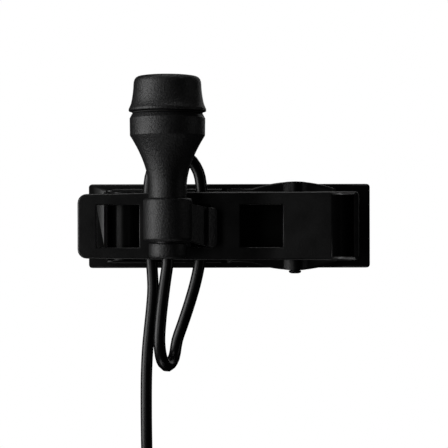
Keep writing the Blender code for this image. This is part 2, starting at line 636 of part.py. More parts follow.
def make_body(mic):
    """The body shell: a spigot for the cap, the barrel, and the funnel down to the neck."""
    steps = 8
    funnel = []
    for i in range(steps + 1):
        share = i / steps
        radius = NECK_RADIUS + (BARREL_RADIUS - NECK_RADIUS) * (1 - share) ** FUNNEL_POWER
        funnel.append((radius, BARREL_BOTTOM_Z - FUNNEL_HEIGHT * share))
    chamber_floor = CAPSULE_BOTTOM_Z - RUNNING_FIT
    spigot_top = SHOULDER_Z + SPIGOT_HEIGHT
    outer = [(SPIGOT_RADIUS, spigot_top), (SPIGOT_RADIUS, SHOULDER_Z), (SHOULDER_RADIUS, SHOULDER_Z),
             (BARREL_RADIUS + 0.03 * MM, BARREL_TOP_Z)] + funnel + [(NECK_RADIUS, NECK_BOTTOM_Z)]
    ledge = CHAMBER_RADIUS - 0.5 * MM
    inner = [(NECK_BORE_RADIUS, NECK_BOTTOM_Z), (NECK_BORE_RADIUS, FUNNEL_BOTTOM_Z + FUNNEL_HEIGHT * 0.35),
             (ledge, chamber_floor), (CHAMBER_RADIUS, chamber_floor), (CHAMBER_RADIUS, spigot_top)]
    turned("body_shell", outer + inner, "black_moulding", mic, steps=40, closed=True)
    inside = SPIGOT_RADIUS + RUNNING_FIT
    turned("cap_gasket", ring(inside, GASKET_RADIUS, SHOULDER_Z + 0.03 * MM, CAP_BOTTOM_Z - 0.03 * MM),
           "black_rubber", mic, steps=32, closed=True)


def ring(inner, outer, low, high):
    return [(outer, high), (outer, low), (inner, low), (inner, high)]


def disc(radius, low, high):
    return [(0, high), (radius, high), (radius, low), (0, low)]


def make_cap(cap):
    """The windscreen cap that pulls off, its grille and the felt under it."""
    recess_floor = CAP_TOP_Z - GRILLE_THICKNESS - 0.08 * MM
    outer = [(CAP_TOP_RADIUS, CAP_TOP_Z), (CAP_TOP_RADIUS + 0.22 * MM, CAP_TOP_Z - 0.15 * MM),
             (CAP_SHOULDER_RADIUS, CAP_TOP_Z - 0.55 * MM),
             (CAP_SHOULDER_RADIUS + 0.1 * MM, CAP_TOP_Z - CAP_HEIGHT * 0.4),
             (CAP_WAIST_RADIUS, CAP_TOP_Z - CAP_HEIGHT * 0.7),
             (CAP_LIP_RADIUS - 0.04 * MM, CAP_BOTTOM_Z + 0.25 * MM), (CAP_LIP_RADIUS, CAP_BOTTOM_Z)]
    recess = GRILLE_RADIUS + RUNNING_FIT
    inner = [(CAP_BORE_RADIUS, CAP_BOTTOM_Z), (CAP_BORE_RADIUS, CAP_CEILING_Z),
             (SOUND_BORE_RADIUS, CAP_CEILING_Z), (SOUND_BORE_RADIUS, recess_floor),
             (recess, recess_floor), (recess, CAP_TOP_Z)]
    turned("windscreen_cap", outer + inner, "black_moulding", cap, steps=40, closed=True)
    grille_low = recess_floor + 0.03 * MM
    grille = rod("cap_grille", GRILLE_RADIUS, (0, 0, grille_low), (0, 0, grille_low + GRILLE_THICKNESS),
                 "black_steel", cap, 32)
    for row, count in ((0, 1), (1, 6), (2, 12)):
        for i in range(count):
            angle = 2 * pi * i / count
            x = row * GRILLE_HOLE_PITCH * cos(angle)
            y = row * GRILLE_HOLE_PITCH * sin(angle)
            cut(grille, rod(f"grille_hole_{row}_{i}", GRILLE_HOLE_RADIUS, (x, y, grille_low - MM),
                            (x, y, grille_low + MM), parent=cap, segments=8))
    felt_top = CAP_CEILING_Z - SEAT_GAP
    turned("cap_felt", disc(CAP_BORE_RADIUS - 0.08 * MM, felt_top - FELT_THICKNESS, felt_top),
           "grey_felt", cap, steps=24)


def make_capsule(mic):
    """The electret capsule: its can, and inside it the stack from the diaphragm down to the board."""
    top, bottom = CAPSULE_TOP_Z, CAPSULE_BOTTOM_Z
    bore = CAPSULE_RADIUS - CAN_WALL
    inside_top = top - CAN_FACE
    turned("capsule_can", [(CAN_HOLE_RADIUS, top), (CAPSULE_RADIUS, top), (CAPSULE_RADIUS, bottom),
                           (bore, bottom), (bore, inside_top), (CAN_HOLE_RADIUS, inside_top)],
           "aluminium", mic, steps=32, closed=True)
    outer = CAN_BORE_RADIUS
    inner = outer - FRAME_WIDTH
    frame_top = inside_top - SEAT_GAP
    frame_low = frame_top - DIAPHRAGM_FRAME
    membrane_top = frame_low + MEMBRANE
    turned("diaphragm", [(0, membrane_top), (inner, membrane_top), (inner, frame_top), (outer, frame_top),
                         (outer, frame_low), (0, frame_low)], "gold_film", mic, steps=32)
    spacer_top = frame_low - SEAT_GAP
    spacer_low = spacer_top - SPACER
    turned("spacer_ring", ring(inner, outer, spacer_low, spacer_top), "white_plastic", mic, closed=True)
    plate_top = spacer_low - SEAT_GAP
    plate_low = plate_top - BACKPLATE
    back = rod("backplate", outer, (0, 0, plate_low), (0, 0, plate_top), "gold_film", mic)
    for i in range(4):
        angle = pi / 4 + i * pi / 2
        x, y = outer * 0.5 * cos(angle), outer * 0.5 * sin(angle)
        cut(back, rod(f"backplate_hole_{i}", 0.2 * MM, (x, y, plate_low - MM), (x, y, plate_top + MM),
                      parent=mic, segments=8))
    board_low = bottom + 0.1 * MM
    board_top = board_low + BOARD
    turned("capsule_board", disc(outer, board_low, board_top), "circuit_board", mic)
    turned("insulator_ring", ring(inner, outer, board_top + SEAT_GAP, plate_low - SEAT_GAP),
           "white_plastic", mic, closed=True)
    long, wide, high = FET_SIZE
    fet_low = board_top + SEAT_GAP
    box("fet", (-long / 2, -wide / 2, fet_low), (long / 2, wide / 2, fet_low + high), "black_moulding", mic)
    return board_low


def make_tail(mic, board_low):
    """The tail bush, the end of the lead in the neck with its crimp, and the two wires to the board."""
    spigot = NECK_BORE_RADIUS - RUNNING_FIT
    mouth = LEAD_BORE_RADIUS + 0.1 * MM
    step_z = TAIL_BOTTOM_Z + LEAD_IN_TAIL
    turned("tail_bush", [
        (spigot, BUSH_SPIGOT_TOP_Z), (spigot, TAIL_TOP_Z), (TAIL_RADIUS, TAIL_TOP_Z),
        (TAIL_RADIUS, TAIL_BOTTOM_Z + 0.2 * MM), (TAIL_RADIUS - 0.2 * MM, TAIL_BOTTOM_Z),
        (mouth, TAIL_BOTTOM_Z), (mouth, step_z), (LEAD_BORE_RADIUS, step_z + 0.1 * MM),
        (LEAD_BORE_RADIUS, BUSH_SPIGOT_TOP_Z),
    ], "black_rubber", mic, steps=32, closed=True)
    crimp_low = BUSH_SPIGOT_TOP_Z + SEAT_GAP
    crimp_top = crimp_low + CRIMP_HEIGHT
    turned("cable_crimp", ring(LEAD_BORE_RADIUS, LEAD_BORE_RADIUS + CRIMP_WALL, crimp_low, crimp_top),
           "copper", mic, steps=24, closed=True)
    end_low = step_z + 0.2 * MM
    end_top = crimp_top + 0.5 * MM
    rod("lead_end", LEAD_RADIUS, (0, 0, end_low), (0, 0, end_top), "lead_jacket", mic, 16)
    wire_top = board_low - SEAT_GAP
    rise = wire_top - end_top
    for name, side, finish in (("signal_wire", 1, "red_wire"), ("ground_wire", -1, "white_plastic")):
        points = []
        for i in range(9):
            share = i / 8
            bow = 0.5 * MM * sin(pi * share)
            x = side * (0.28 * MM + 0.7 * MM * share ** 2)
            points.append((x, bow, end_top + SEAT_GAP + (rise - SEAT_GAP) * share))
        tube(name, points, WIRE_RADIUS, finish, mic)


def make_lead():
    """The lead: its free stretch, the coil that is put away, and the stretch from the coil to the plug."""
    tube("lead", smooth_route(LEAD_ROUTE, ROUTE_STEP), LEAD_RADIUS, "lead_jacket")
    tube("lead_to_plug", smooth_route(TAIL_ROUTE, ROUTE_STEP), LEAD_RADIUS, "lead_jacket")
    section = []
    for i in range(16):
        angle = -2 * pi * i / 16
        section.append((COIL_MIDDLE_RADIUS + COIL_HALF_THICKNESS * cos(angle),
                        COIL_HALF_THICKNESS * sin(angle)))
    coil = turned("lead_coil", section, "lead_jacket", steps=36, closed=True, place=COIL_CENTRE)
    coil.rotation_euler = (pi / 2, 0, 0)
    inside = COIL_HALF_THICKNESS + CORD_GAP
    side = COIL_CENTRE - Vector((COIL_MIDDLE_RADIUS, 0, 0))
    turned("coil_strap", ring(inside, inside + STRAP_THICKNESS, -STRAP_WIDTH / 2, STRAP_WIDTH / 2),
           "black_rubber", steps=32, closed=True, place=side)


def make_plug():
    """A small locking plug: boot, shell, insert with its contacts, clamp, and the latch with its spring."""
    axis = axis_empty("plug_axis", (PLUG_AXIS_X, PLUG_AXIS_Y, 0))
    bore = LEAD_RADIUS + RUNNING_FIT + 0.05 * MM
    top, shell_top, bottom = PLUG_TOP_Z, SHELL_TOP_Z, SHELL_BOTTOM_Z
    turned("plug_boot", [(BOOT_TOP_RADIUS, top), (BOOT_TOP_RADIUS + 0.2 * MM, top - 0.3 * MM),
                         (BOOT_RADIUS, shell_top + MM), (BOOT_RADIUS, shell_top + SEAT_GAP),
                         (bore, shell_top + SEAT_GAP), (bore, top)], "black_rubber", axis, closed=True)
    lip = 1.6 * MM
    shell = turned("plug_shell", [
        (SHELL_RADIUS - 0.5 * MM, shell_top), (SHELL_RADIUS, shell_top - 0.5 * MM),
        (SHELL_RADIUS, bottom + 0.4 * MM), (SHELL_RADIUS - 0.3 * MM, bottom), (SHELL_BORE_RADIUS, bottom),
        (SHELL_BORE_RADIUS, shell_top - 0.8 * MM), (lip, shell_top - 0.8 * MM), (lip, shell_top),
    ], "black_steel", axis, steps=40, closed=True)
    half_width = LATCH_WIDTH / 2 + 0.08 * MM
    half_length = LATCH_LENGTH / 2 + 0.08 * MM
    cut(shell, box("latch_slot", (-half_width, -SHELL_RADIUS - MM, LATCH_CENTRE_Z - half_length),
                   (half_width, -SHELL_BORE_RADIUS + MM, LATCH_CENTRE_Z + half_length), parent=axis))
    insert_top = INSERT_FACE_Z + INSERT_LENGTH
    insert = rod("plug_insert", SHELL_BORE_RADIUS - RUNNING_FIT, (0, 0, INSERT_FACE_Z), (0, 0, insert_top),
                 "black_moulding", axis, 32)
    pocket_y = -SHELL_BORE_RADIUS + 1.3 * MM
    pocket = (half_width + 0.1 * MM, half_length + 0.6 * MM)
    cut(insert, box("latch_pocket", (-pocket[0], -SHELL_RADIUS - MM, LATCH_CENTRE_Z - pocket[1]),
                    (pocket[0], pocket_y, LATCH_CENTRE_Z + pocket[1]), parent=axis))
    for i in range(CONTACT_COUNT):
        angle = pi / 2 + 2 * pi * (i - (CONTACT_COUNT - 1) / 2) / 4
        x, y = CONTACT_CIRCLE * cos(angle), CONTACT_CIRCLE * sin(angle)
        cut(insert, rod(f"contact_hole_{i}", CONTACT_RADIUS + RUNNING_FIT, (x, y, INSERT_FACE_Z - MM),
                        (x, y, insert_top + MM), parent=axis, segments=16))
        low, high = INSERT_FACE_Z + 0.2 * MM, INSERT_FACE_Z + CONTACT_LENGTH
        turned(f"plug_contact_{i + 1}", [(0, high), (CONTACT_RADIUS, high), (CONTACT_RADIUS, low),
                                         (CONTACT_BORE_RADIUS, low), (CONTACT_BORE_RADIUS, low + 6 * MM),
                                         (0, low + 6 * MM)], "steel", axis, steps=12, place=(x, y, 0))
    clamp_top = shell_top - 0.8 * MM - SEAT_GAP
    turned("lead_clamp", ring(bore, SHELL_BORE_RADIUS - 0.6 * MM, clamp_top - CLAMP_LENGTH, clamp_top),
           "white_plastic", axis, closed=True)
    rest_y = -SHELL_RADIUS - LATCH_PROUD
    box("plug_latch", (-LATCH_WIDTH / 2, rest_y, LATCH_CENTRE_Z - LATCH_LENGTH / 2),
        (LATCH_WIDTH / 2, rest_y + LATCH_PROUD + LATCH_THICKNESS, LATCH_CENTRE_Z + LATCH_LENGTH / 2),
        "black_steel", axis)
    spring_y = pocket_y - 0.25 * MM
    box("latch_spring", (-0.6 * MM, spring_y, LATCH_CENTRE_Z - LATCH_LENGTH / 2),
        (0.6 * MM, spring_y + 0.12 * MM, LATCH_CENTRE_Z + LATCH_LENGTH / 2), "steel", axis)


def main():
    make_hinge()
    make_holder()
    mic = axis_empty("mic_axis", (MIC_AXIS_X, MIC_AXIS_Y, 0))
    cap = axis_empty("cap_axis", (MIC_AXIS_X, MIC_AXIS_Y, 0))
    make_body(mic)
    make_cap(cap)
    make_tail(mic, make_capsule(mic))
    make_lead()
    make_plug()


main()
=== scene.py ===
"""Looks of the miniature lavalier microphone: moulded capsule and clip, soft lead, coil and locking plug."""

import json
from math import cos, pi, radians, sin

import bmesh
import bpy
from mathutils import Matrix, Vector


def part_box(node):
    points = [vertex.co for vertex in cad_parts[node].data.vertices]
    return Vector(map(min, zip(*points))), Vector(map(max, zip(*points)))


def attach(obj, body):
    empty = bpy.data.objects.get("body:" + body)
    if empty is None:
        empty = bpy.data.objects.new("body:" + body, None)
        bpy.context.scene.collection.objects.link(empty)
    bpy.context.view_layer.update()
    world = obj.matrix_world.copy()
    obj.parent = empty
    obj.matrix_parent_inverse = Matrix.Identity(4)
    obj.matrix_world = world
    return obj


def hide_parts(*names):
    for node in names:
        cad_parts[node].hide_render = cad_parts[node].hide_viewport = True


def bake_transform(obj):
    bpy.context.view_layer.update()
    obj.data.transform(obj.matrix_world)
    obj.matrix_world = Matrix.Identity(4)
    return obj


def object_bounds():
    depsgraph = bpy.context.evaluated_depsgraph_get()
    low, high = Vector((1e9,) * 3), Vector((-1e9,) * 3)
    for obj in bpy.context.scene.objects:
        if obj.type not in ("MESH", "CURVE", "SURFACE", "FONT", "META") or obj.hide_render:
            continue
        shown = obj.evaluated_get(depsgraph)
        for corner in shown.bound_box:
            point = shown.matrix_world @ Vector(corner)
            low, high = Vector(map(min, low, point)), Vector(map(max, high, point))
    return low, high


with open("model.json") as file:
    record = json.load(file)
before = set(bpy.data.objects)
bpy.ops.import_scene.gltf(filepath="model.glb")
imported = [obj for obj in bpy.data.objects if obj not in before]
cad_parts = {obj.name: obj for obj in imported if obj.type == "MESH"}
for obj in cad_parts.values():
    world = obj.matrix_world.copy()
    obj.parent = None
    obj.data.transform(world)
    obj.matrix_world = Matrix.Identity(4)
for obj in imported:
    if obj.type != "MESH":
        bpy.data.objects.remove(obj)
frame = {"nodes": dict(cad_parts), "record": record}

MM = 0.001
CAD_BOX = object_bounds()
NODES = frame["nodes"]

# How finely round shapes are drawn, and how close points are made one
TURNED_STEPS = 96
ARC_STEPS = 8
ROUNDING_STEPS = 4
SAME_POINT = 1e-7

# The microphone's, the hinge pin's and the plug's axes
MIC_X, MIC_Y = 5.06 * MM, -3.89 * MM
HINGE_X, HINGE_Y = 17.65 * MM, 1.9 * MM
PLUG_X, PLUG_Y = 12.65 * MM, -8.2 * MM

# The lead and its coil
LEAD_DIAMETER = 1.2 * MM
ROUTE_STEP = 0.6 * MM
COIL_CENTRE = Vector((10.55, 0.7, -38.0)) * MM
COIL_MIDDLE_RADIUS = 7.2 * MM
COIL_POINTS = 28
COIL_ROW_PITCH = 0.87  # of the lead's diameter, as rows lie in each other's hollows
CROSSING_START = 0.72  # the share of a turn after which it moves over to its next place
LAST_ARC_POINTS = COIL_POINTS * 5 // 9  # past the last full turn, to where the lead leaves the coil

# The lead's route from the tail to the coil, and from the coil to the plug, in millimetres
LEAD_ROUTE = [
    (5.06, -3.90, -2.20), (5.04, -3.90, -3.60), (4.79, -3.90, -5.40), (4.53, -3.90, -7.40),
    (4.32, -3.90, -9.40), (4.23, -3.88, -11.30), (4.45, -3.20, -13.00), (4.96, -1.60, -13.72),
    (5.50, 0.00, -13.05), (5.80, 0.70, -11.40), (6.42, 0.74, -9.60), (7.08, 0.72, -7.60),
    (7.65, 0.70, -5.60), (8.05, 0.70, -3.60), (8.25, 0.70, -1.20), (8.30, 0.70, 1.40),
    (8.26, 0.70, 3.60), (7.96, 0.62, 5.40), (7.00, 0.48, 6.82), (5.62, 0.42, 7.22),
    (4.25, 0.48, 6.82), (3.28, 0.62, 5.40), (2.98, 0.70, 3.60), (2.93, 0.70, 1.20),
    (3.05, 0.70, -1.40), (3.28, 0.70, -4.00), (3.38, 0.74, -6.20), (3.24, 0.82, -8.20),
    (3.03, 0.86, -10.20), (2.82, 0.88, -12.40), (2.70, 0.90, -15.00), (2.67, 1.00, -18.50),
    (2.69, 1.40, -22.50), (2.73, 2.20, -26.20), (2.75, 3.05, -29.60), (2.75, 3.60, -33.00),
    (2.75, 3.82, -36.00),
]
TAIL_ROUTE = [
    (18.18, -2.47, -36.20), (17.78, -2.70, -34.00), (17.20, -2.98, -31.60), (16.60, -3.30, -29.60),
    (15.60, -4.10, -27.20), (14.50, -5.30, -25.90), (13.40, -6.90, -25.90), (12.80, -7.90, -27.20),
    (12.65, -8.20, -28.80), (12.65, -8.20, -30.20), (12.65, -8.20, -36.00),
]

# Camera, light and floor
CAMERA_DISTANCE = 132 * MM
VIEW_WIDTH = 43.3 * MM
VIEW_CENTRE = (10.5 * MM, 0.2 * MM)
SENSOR = 36.0
CAMERA_ROLL = 0.12  # degrees
NEAREST_SEEN = 5 * MM
SURROUND_STRENGTH = 0.004
FLOOR_DROP = 12 * MM
FLOOR_RADIUS = 0.24

# Soft boxes: name, place in metres, width, height and power in watts
SOFT_BOXES = [
    ("key_left", (-0.36, -0.12, 0.02), 0.24, 0.42, 1.25),
    ("cheek_left", (-0.20, -0.36, 0.03), 0.12, 0.30, 0.15),
    ("top", (0.02, -0.02, 0.45), 0.35, 0.16, 0.48),
    ("under", (0.02, -0.02, -0.45), 0.35, 0.16, 0.32),
    ("back", (0.12, 0.42, 0.16), 0.30, 0.30, 0.2),
    ("rim_right", (0.36, -0.02, 0.05), 0.05, 0.25, 0.03),
]


# ---------------------------------------------------------------- materials


BROAD = 14

def linear(colour):
    """A hex colour as linear red, green, blue and alpha."""
    parts = [int(colour[i : i + 2], 16) / 255 for i in (1, 3, 5)]
    return [c / 12.92 if c <= 0.04045 else ((c + 0.055) / 1.055) ** 2.4 for c in parts] + [1.0]


def node(tree, kind, links=(), **settings):
    """Adds a node; settings name its properties or input sockets, and links pair a socket with an output."""
    made = tree.nodes.new(kind)
    for name, value in settings.items():
        if name in made.bl_rna.properties:
            setattr(made, name, value)
        else:
            made.inputs[name.replace("_", " ")].default_value = value
    for socket, output in links:
        tree.links.new(output, made.inputs[socket])
    return made


def plain(name, colour, **shader):
    """A material with one Principled shader; its constant values are set on the shader's own sockets.

    Where grain is added, its two tints take the place of the colour given here.
    """
    made = bpy.data.materials.new(name)
    made.use_nodes = True
    surface = made.node_tree.nodes["Principled BSDF"]
    surface.inputs["Base Color"].default_value = linear(colour)
    for socket, value in shader.items():
        surface.inputs[socket.replace("_", " ")].default_value = value
    return made, made.node_tree, surface


def grained(tree, surface, grain, depth, roughness, tint, stretch=(1, 1, 1), detail=3.0):
    """Grain of a size in metres on Object coordinates: bump of that depth, varied roughness and colour.

    Roughness drifts in patches of BROAD grains, as a mould's surface does from wear and flow.
    """
    place = node(tree, "ShaderNodeTexCoord")
    mapped = node(tree, "ShaderNodeMapping", [("Vector", place.outputs["Object"])], Scale=stretch)
    fine = node(tree, "ShaderNodeTexNoise", [("Vector", mapped.outputs["Vector"])],
                Scale=1 / grain, Detail=detail, Roughness=0.6)
    broad = node(tree, "ShaderNodeTexNoise", [("Vector", place.outputs["Object"])],
                 Scale=1 / (BROAD * grain), Detail=2.0)
    bump = node(tree, "ShaderNodeBump", [("Height", fine.outputs["Fac"])], Distance=depth, Strength=1.0)
    tree.links.new(bump.outputs["Normal"], surface.inputs["Normal"])
    rough = node(tree, "ShaderNodeMapRange", [("Value", broad.outputs["Fac"])],
                 From_Min=0.3, From_Max=0.7, To_Min=roughness[0], To_Max=roughness[1])
    tree.links.new(rough.outputs["Result"], surface.inputs["Roughness"])
    ramp = node(tree, "ShaderNodeValToRGB", [("Fac", fine.outputs["Fac"])])
    ramp.color_ramp.elements[0].position = 0.3
    ramp.color_ramp.elements[0].color = linear(tint[0])
    ramp.color_ramp.elements[1].position = 0.75
    ramp.color_ramp.elements[1].color = linear(tint[1])
    tree.links.new(ramp.outputs["Color"], surface.inputs["Base Color"])


def eroded_polyamide():
    """Black polyamide from a spark-eroded mould: a fine even sparkle of pits, satin."""
    # Spark pits are about 0.03 mm wide; they are drawn 0.19 mm wide and 0.06 mm deep, so that they show.
    made, tree, surface = plain("eroded_polyamide", "#141414", IOR=1.53)
    grained(tree, surface, 0.19 * MM, 0.06 * MM, (0.40, 0.50), ("#060607", "#1c1c1d"), detail=4.0)
    return made


def satin_nylon():
    """Black nylon from a blasted mould: smoother and darker than the capsule, with a faint cloud of flow."""
    # Blasting leaves dimples about 0.05 mm wide; they are drawn 0.13 mm wide, so that they show.
    made, tree, surface = plain("satin_nylon", "#0f0f10", IOR=1.53)
    grained(tree, surface, 0.13 * MM, 0.010 * MM, (0.31, 0.39), ("#040404", "#0b0b0c"))
    return made


def shade_darkened_nylon():
    """Black nylon from a polished mould, nearly black, with a soft gloss; its colour is darker than the front
    jaw's nylon, as painted shade for the rear jaw lying behind the front jaw.
    """
    # The long waves of a hand-polished mould, about 0.2 mm.
    # Base colour and tints darker than the front jaw's: painted shade for the rear jaw behind the front jaw.
    made, tree, surface = plain("shade_darkened_nylon", "#060606", IOR=1.53, Specular_IOR_Level=0.32)
    grained(tree, surface, 0.2 * MM, 0.003 * MM, (0.36, 0.44), ("#020202", "#060606"))
    return made


def soft_elastomer():
    """Thermoplastic rubber of the seal, boot and strap: matt, with a slight bloom."""
    # Bloom is finer than 0.05 mm; it is drawn in specks of 0.2 mm, so that it shows.
    made, tree, surface = plain("soft_elastomer", "#101010", IOR=1.5)
    grained(tree, surface, 0.2 * MM, 0.01 * MM, (0.6, 0.75), ("#0c0c0c", "#181818"))
    return made


def lead_jacket():
    """Extruded soft PVC of the lead: satin, with a slight orange peel of about 0.3 mm."""
    made, tree, surface = plain("lead_jacket", "#0e0e0f", IOR=1.52, Specular_IOR_Level=0.4)
    grained(tree, surface, 0.3 * MM, 0.006 * MM, (0.28, 0.38), ("#050505", "#0c0c0d"))
    return made


def black_plated_steel():
    """Black-chromed turned steel: dark mirror with fine turning marks round the axis."""
    # The tool's feed is about 0.04 mm a turn, which the stretch of 12 along the axis gives.
    made, tree, surface = plain("black_plated_steel", "#2a2a2c", Metallic=1.0)
    grained(tree, surface, 0.5 * MM, 0.002 * MM, (0.26, 0.36), ("#242426", "#303032"), stretch=(1, 1, 12))
    return made


def drawn_steel():
    """Drawn spring steel and turned contacts: bright, with faint draw lines about 0.05 mm apart."""
    made, tree, surface = plain("drawn_steel", "#b9babd", Metallic=1.0)
    grained(tree, surface, 0.3 * MM, 0.002 * MM, (0.22, 0.34), ("#aeb0b3", "#c4c6c9"), stretch=(1, 1, 6))
    return made


def drawn_aluminium():
    """Deep-drawn aluminium of the capsule's can: bright and slightly soft, with die lines 0.06 mm apart."""
    made, tree, surface = plain("drawn_aluminium", "#c9cbcd", Metallic=1.0)
    grained(tree, surface, 0.3 * MM, 0.002 * MM, (0.28, 0.4), ("#c0c2c4", "#d2d4d6"), stretch=(1, 1, 5))
    return made


def gold_film():
    """Sputtered gold on the diaphragm and backplate: a warm, clear mirror, barely uneven."""
    made, tree, surface = plain("gold_film", "#d9b15a", Metallic=1.0)
    grained(tree, surface, 0.4 * MM, 0.001 * MM, (0.16, 0.26), ("#d2a84e", "#e2bd6c"))
    return made


def green_laminate():
    """Glass-epoxy board under green solder mask: glossy, with the 0.25 mm weave faintly telegraphed."""
    made, tree, surface = plain("green_laminate", "#0e4a26", IOR=1.5)
    grained(tree, surface, 0.25 * MM, 0.004 * MM, (0.25, 0.35), ("#0b4020", "#12552c"))
    return made


def white_acetal():
    """White acetal of the spacer, insulator and clamp: slightly waxy."""
    made, tree, surface = plain("white_acetal", "#dedbd2", IOR=1.48)
    grained(tree, surface, 0.25 * MM, 0.004 * MM, (0.38, 0.48), ("#d8d5cb", "#e4e2da"))
    return made


def acoustic_felt():
    """Grey needled felt: a dense tangle of fibres, with no gloss."""
    # Fibres are about 0.02 mm thick; they are drawn 0.1 mm thick, so that they show.
    made, tree, surface = plain("acoustic_felt", "#38383a", IOR=1.45)
    surface.inputs["Sheen Weight"].default_value = 0.4
    grained(tree, surface, 0.1 * MM, 0.04 * MM, (0.9, 1.0), ("#252527", "#4a4a4d"), detail=6.0)
    return made


def copper_crimp():
    """Annealed copper sleeve: warm and satin, slightly toned."""
    made, tree, surface = plain("copper_crimp", "#c87a50", Metallic=1.0)
    grained(tree, surface, 0.3 * MM, 0.004 * MM, (0.28, 0.42), ("#b96e46", "#d48a60"))
    return made


def red_insulation():
    """Red PVC of the signal wire: smooth and softly glossy."""
    made, tree, surface = plain("red_insulation", "#a01616", IOR=1.52)
    grained(tree, surface, 0.2 * MM, 0.003 * MM, (0.32, 0.42), ("#961212", "#ab1c1c"))
    return made


FINISHES = {
    "black_moulding": eroded_polyamide(),
    "black_rubber": soft_elastomer(),
    "lead_jacket": lead_jacket(),
    "black_steel": black_plated_steel(),
    "steel": drawn_steel(),
    "aluminium": drawn_aluminium(),
    "gold_film": gold_film(),
    "circuit_board": green_laminate(),
    "white_plastic": white_acetal(),
    "grey_felt": acoustic_felt(),
    "copper": copper_crimp(),
    "red_wire": red_insulation(),
}
CLIP_FINISH = satin_nylon()
# The rear jaw's nylon is painted darker than the front jaw's, as painted shade for the jaw lying behind it.
REAR_FINISH = shade_darkened_nylon()


def finish_frame_nodes():
    """Every CAD node takes the material of its record slot."""
    for entry in frame["record"]["subparts"]:
        kept = NODES[entry["node"]]
        kept.data.materials.clear()
        kept.data.materials.append(FINISHES[entry["material_slot"]])


# ---------------------------------------------------------------- stage


def light(name, place, target, width, height, power):
    """A rectangular soft box that faces the target."""
    lamp = bpy.data.lights.new(name, "AREA")
    lamp.shape = "RECTANGLE"
    lamp.size = width
    lamp.size_y = height
    lamp.energy = power
    holder = bpy.data.objects.new(name, lamp)
    holder.location = place
    holder.rotation_euler = (Vector(target) - Vector(place)).to_track_quat("-Z", "Y").to_euler()
    bpy.context.scene.collection.objects.link(holder)


def make_stage():
    """Camera at the height of the clip, a white surround, soft boxes and a pale floor below.

    The floor is hidden from diffuse, glossy and shadow rays, so that it throws no light up onto the parts.
    """
    scene = bpy.context.scene
    scene.view_settings.view_transform = "Standard"
    mic_y = sum(corner.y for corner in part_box("body_shell")) / 2
    camera = bpy.data.objects.new("camera", bpy.data.cameras.new("camera"))
    camera.data.sensor_width = SENSOR
    camera.data.lens = SENSOR * CAMERA_DISTANCE / VIEW_WIDTH
    camera.data.clip_start = NEAREST_SEEN
    camera.location = (VIEW_CENTRE[0], mic_y - CAMERA_DISTANCE, VIEW_CENTRE[1])
    camera.rotation_euler = (pi / 2, radians(CAMERA_ROLL), 0)
    scene.collection.objects.link(camera)
    scene.camera = camera

    world = bpy.data.worlds.new("studio")
    scene.world = world
    world.use_nodes = True
    tree = world.node_tree
    tree.nodes.clear()
    rays = node(tree, "ShaderNodeLightPath")
    surround = node(tree, "ShaderNodeBackground", Color=(1, 1, 1, 1), Strength=SURROUND_STRENGTH)
    backdrop = node(tree, "ShaderNodeBackground", Color=(1, 1, 1, 1), Strength=1.0)
    mixed = node(tree, "ShaderNodeMixShader", [("Fac", rays.outputs["Is Camera Ray"])])
    tree.links.new(surround.outputs[0], mixed.inputs[1])
    tree.links.new(backdrop.outputs[0], mixed.inputs[2])
    out = node(tree, "ShaderNodeOutputWorld")
    tree.links.new(mixed.outputs[0], out.inputs["Surface"])

    for name, place, width, height, power in SOFT_BOXES:
        light(name, place, (VIEW_CENTRE[0], 0, 0), width, height, power)

    bm = bmesh.new()
    bmesh.ops.create_circle(bm, cap_ends=True, segments=TURNED_STEPS, radius=FLOOR_RADIUS)
    bmesh.ops.translate(bm, verts=bm.verts, vec=(0.01, 0, CAD_BOX[0].z - FLOOR_DROP))
    floor = bpy.data.objects.new("floor", bpy.data.meshes.new("floor"))
    bm.to_mesh(floor.data)
    bm.free()
    paper = plain("paper", "#e8e6e2", Roughness=0.9)[0]
    floor.data.materials.append(paper)
    floor.visible_diffuse = False
    floor.visible_glossy = False
    floor.visible_shadow = False
    scene.collection.objects.link(floor)


# ---------------------------------------------------------------- shaping


def spun(profile, axis=(0, 0), steps=TURNED_STEPS):
    """A closed turned solid from a (radius, height) profile, spun about a vertical line through axis."""
    bm = bmesh.new()
    corners = [bm.verts.new((axis[0] + r, axis[1], z)) for r, z in profile]
    edges = [bm.edges.new(pair) for pair in zip(corners, corners[1:])]
    if profile[0][0] > 0:
        edges.append(bm.edges.new((corners[-1], corners[0])))
    bmesh.ops.spin(bm, geom=corners + edges, cent=(*axis, 0), axis=(0, 0, 1), angle=2 * pi, steps=steps,
                   use_merge=True)
    bmesh.ops.remove_doubles(bm, verts=bm.verts, dist=SAME_POINT)
    bmesh.ops.recalc_face_normals(bm, faces=bm.faces)
    return bm


def rounded(profile, radius):
    """A closed profile with each corner sharper than 20 degrees rounded, by no more than its sides allow."""
    found = []
    count = len(profile)
    for i in range(count):
        here = Vector(profile[i])
        before, after = Vector(profile[i - 1]) - here, Vector(profile[(i + 1) % count]) - here
        on_axis = abs(here.x) < 1e-9
        if on_axis or pi - before.angle(after) < radians(20):
            found.append(tuple(here))
            continue
        cut = min(radius, before.length * 0.45, after.length * 0.45)
        first, last = here + before.normalized() * cut, here + after.normalized() * cut
        for k in range(ROUNDING_STEPS + 1):
            t = k / ROUNDING_STEPS
            found.append(tuple(first * (1 - t) ** 2 + here * 2 * t * (1 - t) + last * t * t))
    return found


def slab(outline, low, high, across):
    """An (x, z) outline extruded along Y, or an (x, y) outline along Z."""
    bm = bmesh.new()
    if across == "Y":
        corners = [bm.verts.new((a, low, b)) for a, b in outline]
    else:
        corners = [bm.verts.new((a, b, low)) for a, b in outline]
    face = bm.faces.new(corners)
    grown = bmesh.ops.extrude_face_region(bm, geom=[face])
    moved = [v for v in grown["geom"] if isinstance(v, bmesh.types.BMVert)]
    step = (0, high - low, 0) if across == "Y" else (0, 0, high - low)
    bmesh.ops.translate(bm, verts=moved, vec=step)
    bmesh.ops.recalc_face_normals(bm, faces=bm.faces)
    return bm


